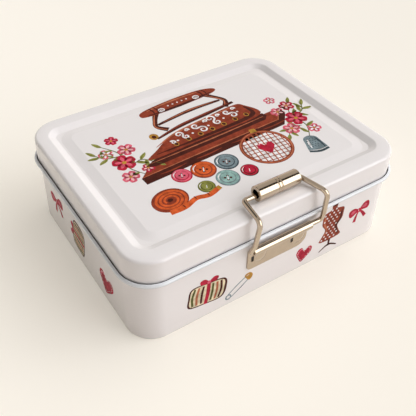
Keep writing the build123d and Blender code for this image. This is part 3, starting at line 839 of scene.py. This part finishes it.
def draw_sprig(art, stem, leaves, size):
    """Stem with leaves; each leaf is (share along the stem, side)."""
    line = curve(stem, 8, closed=False)
    art.line("moss", 0, stem, 0.5, 0.9, 0.5)
    leaf = curve([(0, 0), (3.2, 1.7), (7.4, 0.9), (9.6, -0.4), (6.4, -1.7), (2.6, -1.4)], 3)
    vein = stroke([(0.6, 0.1), (4.5, 0.3), (8.4, -0.2)], (0.5, 0.3))
    spots = []
    for share, side in leaves:
        k = min(int(share * (len(line) - 1)), len(line) - 2)
        spots.append((*line[k], heading(line[k], line[k + 1]) + 52 * side, size))
    art.repeat("olive", 1, leaf, spots)
    art.repeat("moss", 2, vein, spots)


def draw_cloth_roll(art):
    """Roll of striped ticking tied with a ribbon, 26 wide and 18 high."""
    for ink, layer, x, y, right, left in (("umber", 1, 12, 8, 14.5, 13.5), ("cream", 2, 11, 7.2, 12.6, 12.2)):
        top = y * 1.125
        roll = [(-x, -y), (0, -top), (x, -y), (right, 0), (x, y), (0, top), (-x, y), (-left, 0)]
        art.add(ink, layer, curve(roll))
    for x, ink in (
        (-9.5, "moss"), (-6.6, "clay"), (-3.4, "umber"), (3.4, "moss"), (6.4, "clay"), (9.3, "umber"),
    ):
        art.line(ink, 3, [(x, -7.2), (x * 1.12, 0), (x, 7.2)], 1.5, 1.7, 1.5)
    art.line("crimson", 4, [(0, -9), (0.6, 0), (0, 9)], 2.6, 2.8, 2.6)
    for side in (-1, 1):
        art.add("crimson", 5, curve([(0, 9), (side * 3, 12.6), (side * 6.4, 12), (side * 5.6, 9)], 4))
    art.add("rose", 6, disc(0, 9.4, 1.5, 1.3, 12))


def draw_safety_pin(art):
    """Closed safety pin, 26 long."""
    art.line("slate", 1, [(-11, 2.6), (0, 3.2), (10, 2.8)], 0.9, 1.1, 0.9)
    art.line("slate", 1, [(-11, -2.6), (0, -2.6), (10, -2.0)], 0.9, 1.1, 0.9)
    art.add("slate", 1, disc(-12.4, 0, 3.0), disc(-12.4, 0, 1.7)[::-1])
    art.add("ochre", 2, curve([(8.6, -3.6), (13, -3), (14.6, 0.4), (13, 4), (8.6, 4.4)]))
    art.line("milk", 3, [(9.6, 2.8), (12.4, 2.2)], 0.8, 0.4)


def draw_dress_form(art):
    """Tailor's bust on a turned stand, 36 high, in spotted cloth."""
    half = [
        (2.0, 35), (2.2, 32.4), (7.6, 30.6), (8.0, 26), (7.6, 22),
        (4.8, 17.4), (6.6, 12.6), (8.2, 8.6), (0, 7.6),
    ]
    bust = curve(half + [(-x, y) for x, y in reversed(half[:-1])], 4)
    art.add("rust", 1, bust)
    art.line("umber", 2, [(6.4, 29), (6.2, 22), (3.6, 17.4), (6.0, 10.5)], 0.5, 1.8, 1.5, 1.2)
    art.line("clay", 2, [(-6.2, 29), (-6, 22.5), (-3.6, 17.4), (-6, 11)], 0.4, 1.4, 1.2, 0.5)
    spots = []
    for row in range(10):
        reach = 6.6 if row in (0, 1, 6, 7, 8) else 4.6
        across = [3.2 * k + 1.6 * (row % 2) for k in (-2, -1, 0, 1)]
        spots += [(x, 9.8 + row * 2.45, 0, 1) for x in across if abs(x) < reach]
    art.repeat("milk", 3, disc(0, 0, 0.62, steps=10), spots)
    art.add("umber", 2, disc(0, 36, 2.4, 1.5))
    art.line("umber", 1, [(0, 8), (0, 3)], 1.8, 1.4)
    art.line("umber", 1, [(-7, 0.2), (-2.6, 2.8), (0, 3.4), (2.6, 2.8), (7, 0.2)], 0.8, 1.8, 0.8)


def draw_bow(art):
    """Ribbon bow, 24 wide."""
    for side in (-1, 1):
        loop = [(0, 0), (side * 5, 5.6), (side * 11, 5.4), (side * 12, 0), (side * 9.6, -3.4), (side * 4, -1.8)]
        tail = [(side * 0.6, -0.4), (side * 4, -6), (side * 6.4, -12)]
        art.line("crimson", 1, tail, 1.4, 3.0, 3.8)
        art.add("crimson", 2, curve(loop, 4))
        art.add("rose", 3, curve([(side * 3.4, 1.8), (side * 7, 3.8), (side * 9.6, 1.8), (side * 7, -0.4)], 4))
    art.add("crimson", 4, disc(0, 0, 2.2, 2.6, 16))
    art.line("milk", 5, [(-0.8, -0.8), (-0.6, 1.4)], 0.3, 0.7)


def draw_lid(art):
    """Flat iron on its board over a hoop, buttons, tape and thimble, between two flowering sprigs."""
    art.move(3, -2, 3, 0.95)
    draw_flat_iron(art)
    art.move(26, -24, -8, 0.9)
    draw_hoop(art)
    for x, y, size, *look in (
        (-20, -22, 1.0, "orange", "rust", 4), (-4, -23, 0.95, "slate", "ink", 4),
        (-34, -20, 0.8, "rose", "crimson", 4), (-12, -36, 0.92, "teal", "slate", 4),
        (3, -37, 0.7, "crimson", "umber", 2), (-27, -36, 0.66, "olive", "moss", 2),
    ):
        art.move(x, y, 20, size)
        draw_button(art, *look)
    art.move(-51, -35, 6, 0.78)
    draw_tape_measure(art)
    art.move(52, -44, -12, 1.0)
    draw_thimble(art)
    for x, y, turn, flip in ((-56, 12, 14, 1), (62, -10, -16, -1)):
        art.move(x, y, turn)
        for stem in (
            [(0, -20), (-3 * flip, -8), (2 * flip, 6), (-2 * flip, 20)],
            [(0, -8), (8 * flip, -8), (12 * flip, -16)],
            [(1 * flip, 4), (-7 * flip, 8), (-10 * flip, 15)],
        ):
            draw_sprig(art, stem, [(0.14, 1), (0.3, -1), (0.46, 1), (0.64, -1), (0.8, 1), (0.97, 0)], 0.8)
    for x, y, turn, size, *inks in (
        (-57, 9, 0, 1.1, "crimson", "rose"), (-50, 20, 30, 0.85, "rose", "blush"),
        (-63, 22, 10, 0.7, "rose", "milk"), (-54, 33, 50, 0.66, "crimson", "rose"),
        (-60, -5, 40, 0.8, "rose", "blush"), (-47, -3, 20, 0.6, "crimson", "blush"),
        (62, -9, 20, 1.1, "crimson", "rose"), (52, -17, 50, 0.85, "rose", "blush"),
        (66, 6, 5, 0.8, "crimson", "blush"), (65, -24, 35, 0.7, "rose", "milk"),
        (56, 3, 15, 0.72, "rose", "blush"), (60, 17, 60, 0.6, "rose", "milk"),
    ):
        art.move(x, y, turn, size)
        draw_blossom(art, *inks)


SIDES = {  # a few loose sewing things on each wall: drawing, place, turn and size
    "front": (
        (draw_cloth_roll, -50, 20, -8, 0.95), (draw_safety_pin, -27, 12, 34, 0.75),
        (draw_dress_form, 43, 5, 0, 1.06), (draw_bow, 66, 27, 12, 0.72),
        (draw_heart_patch, 22, 12, -12, 0.62),
    ),
    "left": (
        (draw_bow, -36, 28, 10, 0.8), (draw_cloth_roll, -4, 22, 78, 0.9),
        (draw_heart_patch, 33, 17, -10, 0.85),
    ),
    "right": (
        (draw_heart_patch, -36, 26, 8, 0.9), (draw_dress_form, 0, 5, 0, 0.98),
        (draw_safety_pin, 34, 18, -30, 0.85),
    ),
    "back": (
        (draw_cloth_roll, -24, 22, 10, 0.95), (draw_thimble, 18, 14, -8, 1.1),
        (draw_heart_patch, 70, 20, 12, 0.8), (draw_bow, -70, 24, -6, 0.75),
    ),
}


# ---- operators


class TIN_OT_lid(bpy.types.Operator):
    """Lid pressing and its curled rim"""
    bl_idname = "tin.lid"
    bl_label = "Lid"

    def execute(self, context):
        s = sizes()
        length, width, _, edge = lid_plan()
        loops = lid_levels(s.sheet)[::-1] + lid_levels(0)
        lid = sheet_object("lid_pressing", loops, False, "lacquer")
        refinish(lid, "tinplate", faces_inside)
        # painted shade: the skirt's outer band just above the rim curl takes the dark fold colour
        shade_band_top = (edge + s.rim_fold) * MM
        refinish(lid, "fold", lambda face: face.material_index == 0 and face.center.z < shade_band_top)
        settle(lid, "lid", "lacquer", "lid")
        section = curl_outline(s.rim_curl / 2 - s.sheet, edge, s.rim_curl / 2, s.sheet, pi, s.curl_wrap)
        loops = sweep_section(section, length, width, s.lid_corner)
        rim = sheet_object("lid_rim_curl", loops, True, "rim")
        # painted shade: the curl's inner sheet, where light hardly reaches, takes the dark fold colour
        outer = (len(section) // 2 - 1) * len(loops[0])
        refinish(rim, "fold", lambda face: face.index >= outer)
        settle(rim, "lid", "lacquer")
        return {"FINISHED"}


class TIN_OT_body(bpy.types.Operator):
    """Body wall with its neck curl, foot flange and lock seam"""
    bl_idname = "tin.body"
    bl_label = "Body"

    def execute(self, context):
        s = sizes()
        low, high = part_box("body_wall")
        length = (high[0] - low[0]) / MM
        width = -2 * low[1] / MM
        inset = s.lid_corner - (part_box("lid")[1][0] / MM - s.rim_curl + s.sheet - length / 2)
        loops = sweep_section(body_section(), length, width, inset)
        wall = sheet_object("body_shell", loops, True, "lacquer")
        refinish(wall, "tinplate", faces_inside)
        for peg in slot_pegs():
            pierce(wall, peg)
        settle(wall, "tin", "lacquer", "body_wall")
        half, back = s.seam_width / 2, width / 2
        flat, edge = back + s.seam_rise, back + s.seam_rise * SEAM_EDGE
        outline = [
            (-half, back - s.seam_rise), (half, back - s.seam_rise), (half, edge),
            (half - SEAM_BEVEL, flat), (SEAM_BEVEL - half, flat), (-half, edge),
        ]
        loops = [[(x, y, z) for x, y in outline] for z in (s.seam_bottom, s.seam_top)]
        seam = sheet_object("lock_seam", loops, False, "lacquer")
        settle(seam, "tin", "lacquer")
        return {"FINISHED"}


def slot_pegs():
    """Upright round-ended pegs where the slots beside the clasp's rivets go through the wall."""
    s = sizes()
    (left, front, low), (right, back, high) = [[c / MM for c in corner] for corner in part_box("clasp_rivets")]
    radius, head = s.lance_width / 2, high - low
    outline = []
    for side in (1, -1):
        for k in range(PEG_STEPS + 1):
            turn = pi * k / PEG_STEPS
            rise = radius * sin(turn) + (s.lance_height - s.lance_width) / 2
            outline.append((radius * cos(turn) * side - s.lance_offset, rise * side + (low + high) / 2))
    ends = (front - PEG_REACH, back + PEG_REACH)
    return [
        sheet_object("slot_peg", [[(x + u, y, v) for u, v in outline] for y in ends], False)
        for x in (left + head / 2, right - head / 2)
    ]


def pierce(piece, cutter):
    """Cuts the cutter out of the piece and removes it."""
    modifier = piece.modifiers.new("slots", "BOOLEAN")
    modifier.operation = "DIFFERENCE"
    modifier.solver = "EXACT"
    modifier.object = cutter
    graph = bpy.context.evaluated_depsgraph_get()
    mesh = bpy.data.meshes.new_from_object(piece.evaluated_get(graph))
    piece.modifiers.remove(modifier)
    mesh.name = piece.data.name
    piece.data = mesh
    shade(mesh, SMOOTH_ANGLE)
    bpy.data.objects.remove(cutter)


class TIN_OT_metalwork(bpy.types.Operator):
    """Clasp, hinges and rivets in nickel plate, and the bare bottom plate"""
    bl_idname = "tin.metalwork"
    bl_label = "Metalwork"

    def execute(self, context):
        for node in frame["nodes"]:
            if node.startswith(("clasp", "hinge")):
                smooth_copy(node, "nickel")
        smooth_copy("bottom_plate", "tinplate")
        return {"FINISHED"}


def smooth_copy(node, finish):
    """Merged and smoothly shaded copy of a CAD node that stands for it."""
    mesh = frame["nodes"][node].data.copy()
    mesh.name = node + "_shaded"
    mesh.materials.clear()
    if mesh.has_custom_normals:
        mesh.attributes.remove(mesh.attributes["custom_normal"])
    work = bmesh.new()
    work.from_mesh(mesh)
    bmesh.ops.remove_doubles(work, verts=work.verts, dist=MERGE_DISTANCE)
    work.to_mesh(mesh)
    work.free()
    shade(mesh, CAD_SMOOTH_ANGLE)
    piece = add_object(mesh.name, mesh, finish)
    body = next(name for name, nodes in frame["record"]["behaviour"]["bodies"].items() if node in nodes)
    settle(piece, body, finish, node)


class TIN_OT_prints(bpy.types.Operator):
    """Printed drawings on the lid's panel and the four walls"""
    bl_idname = "tin.prints"
    bl_label = "Prints"

    def execute(self, context):
        lid = Drawing()
        draw_lid(lid)
        print_face(lid, "lid", "lid")
        for face, motifs in SIDES.items():
            art = Drawing()
            for motif, *place in motifs:
                art.move(*place)
                motif(art)
            print_face(art, face, "tin")
        return {"FINISHED"}


class TIN_OT_stage(bpy.types.Operator):
    """Pale floor, soft studio lamps and the camera"""
    bl_idname = "tin.stage"
    bl_label = "Stage"

    def execute(self, context):
        make_floor()
        make_world()
        make_lamps()
        make_camera()
        return {"FINISHED"}


def make_floor():
    """Wide pale floor."""
    mesh = bpy.data.meshes.new("floor")
    corners = [(x * FLOOR_REACH, y * FLOOR_REACH, 0) for x, y in ((-1, -1), (1, -1), (1, 1), (-1, 1))]
    mesh.from_pydata(corners, [], [(0, 1, 2, 3)])
    add_object("floor", mesh, "floor")


def make_world():
    """Even light from above for matt surfaces; the eye and the metal see a pale ceiling with dark gaps."""
    scene = bpy.context.scene
    scene.view_settings.view_transform = "Standard"
    scene.world = bpy.data.worlds.new("studio")
    scene.world.use_nodes = True
    tree = scene.world.node_tree
    tree.nodes.clear()
    place = add_node(tree, "ShaderNodeTexCoord").outputs["Generated"]
    up = add_node(tree, "ShaderNodeSeparateXYZ", vector=place).outputs["Z"]
    rise = add_node(tree, "ShaderNodeMath", {"operation": "MULTIPLY"}, value=[up, up])
    level = add_node(tree, "ShaderNodeMath", {"operation": "MULTIPLY"}, value=[rise, SKY_LIGHT])
    sky = add_node(tree, "ShaderNodeBackground", color=colour(SKY_TINT), strength=level)
    ramp = add_node(tree, "ShaderNodeValToRGB", fac=up)
    stops = ramp.color_ramp.elements
    stops[0].color = scene.tin_colours.floor
    stops[1].position, stops[1].color = 1.0, colour(CEILING[-1][1])
    for height, tint in CEILING[:-1]:
        stops.new(height).color = colour(tint)
    left = 1.0
    for source, outer, inner, dark in CEILING_GAPS:
        near = add_node(tree, "ShaderNodeVectorMath", {"operation": "DOT_PRODUCT"}, vector=[place, source])
        left = add_node(
            tree, "ShaderNodeMapRange", value=near, from_min=outer, from_max=inner, to_min=left, to_max=dark,
        )
    seen = add_node(tree, "ShaderNodeBackground", color=ramp, strength=left)
    mix = add_node(tree, "ShaderNodeMixShader", fac=direct_view(tree), shader=[sky, seen])
    add_node(tree, "ShaderNodeOutputWorld", surface=mix)


def make_lamps():
    """Broad soft lamps from the front and right for matt surfaces, and one that only mirrors see."""
    for name, source, strength, tint, spread, mirrored in LAMPS:
        data = bpy.data.lights.new(name, "SUN")
        data.angle = radians(spread)
        data.energy = strength
        data.color = colour(tint)[:3]
        lamp = bpy.data.objects.new(name, data)
        lamp.visible_glossy, lamp.visible_diffuse = mirrored, not mirrored
        lamp.rotation_euler = Vector(source).to_track_quat("Z", "Y").to_euler()
        bpy.context.scene.collection.objects.link(lamp)


def make_camera():
    """Camera that looks down on the tin's left front corner."""
    data = bpy.data.cameras.new("camera")
    data.sensor_width, data.lens = CAMERA_SENSOR, CAMERA_LENS
    data.shift_x, data.shift_y = CAMERA_SHIFT
    data.clip_start, data.clip_end = CAMERA_RANGE
    camera = bpy.data.objects.new("camera", data)
    camera.location = CAMERA_PLACE
    around, down = [radians(angle) for angle in CAMERA_ANGLES]
    ahead = Vector((-sin(around) * cos(down), cos(around) * cos(down), -sin(down)))
    camera.rotation_mode = "QUATERNION"
    camera.rotation_quaternion = ahead.to_track_quat("-Z", "Y")
    bpy.context.scene.collection.objects.link(camera)
    bpy.context.scene.camera = camera


class TIN_PT_panel(bpy.types.Panel):
    """Sidebar list of the tin's pieces"""
    bl_label = "Sewing tin"
    bl_idname = "TIN_PT_panel"
    bl_space_type = "VIEW_3D"
    bl_region_type = "UI"
    bl_category = "Tin"

    def draw(self, context):
        for operator in OPERATORS:
            self.layout.operator(operator.bl_idname)


OPERATORS = (TIN_OT_lid, TIN_OT_body, TIN_OT_metalwork, TIN_OT_prints, TIN_OT_stage)
SETTINGS = {"tin_sizes": TinSizes, "tin_inks": TinInks, "tin_colours": TinColours}
CLASSES = (*SETTINGS.values(), *OPERATORS, TIN_PT_panel)


def register():
    for each in CLASSES:
        bpy.utils.register_class(each)
    for name, group in SETTINGS.items():
        setattr(bpy.types.Scene, name, PointerProperty(type=group))


def unregister():
    for name in SETTINGS:
        delattr(bpy.types.Scene, name)
    for each in reversed(CLASSES):
        bpy.utils.unregister_class(each)


def main():
    """Registers the add-on and makes every piece."""
    register()
    bpy.ops.tin.lid()
    bpy.ops.tin.body()
    bpy.ops.tin.metalwork()
    bpy.ops.tin.prints()
    bpy.ops.tin.stage()


if __name__ == "__main__":
    main()
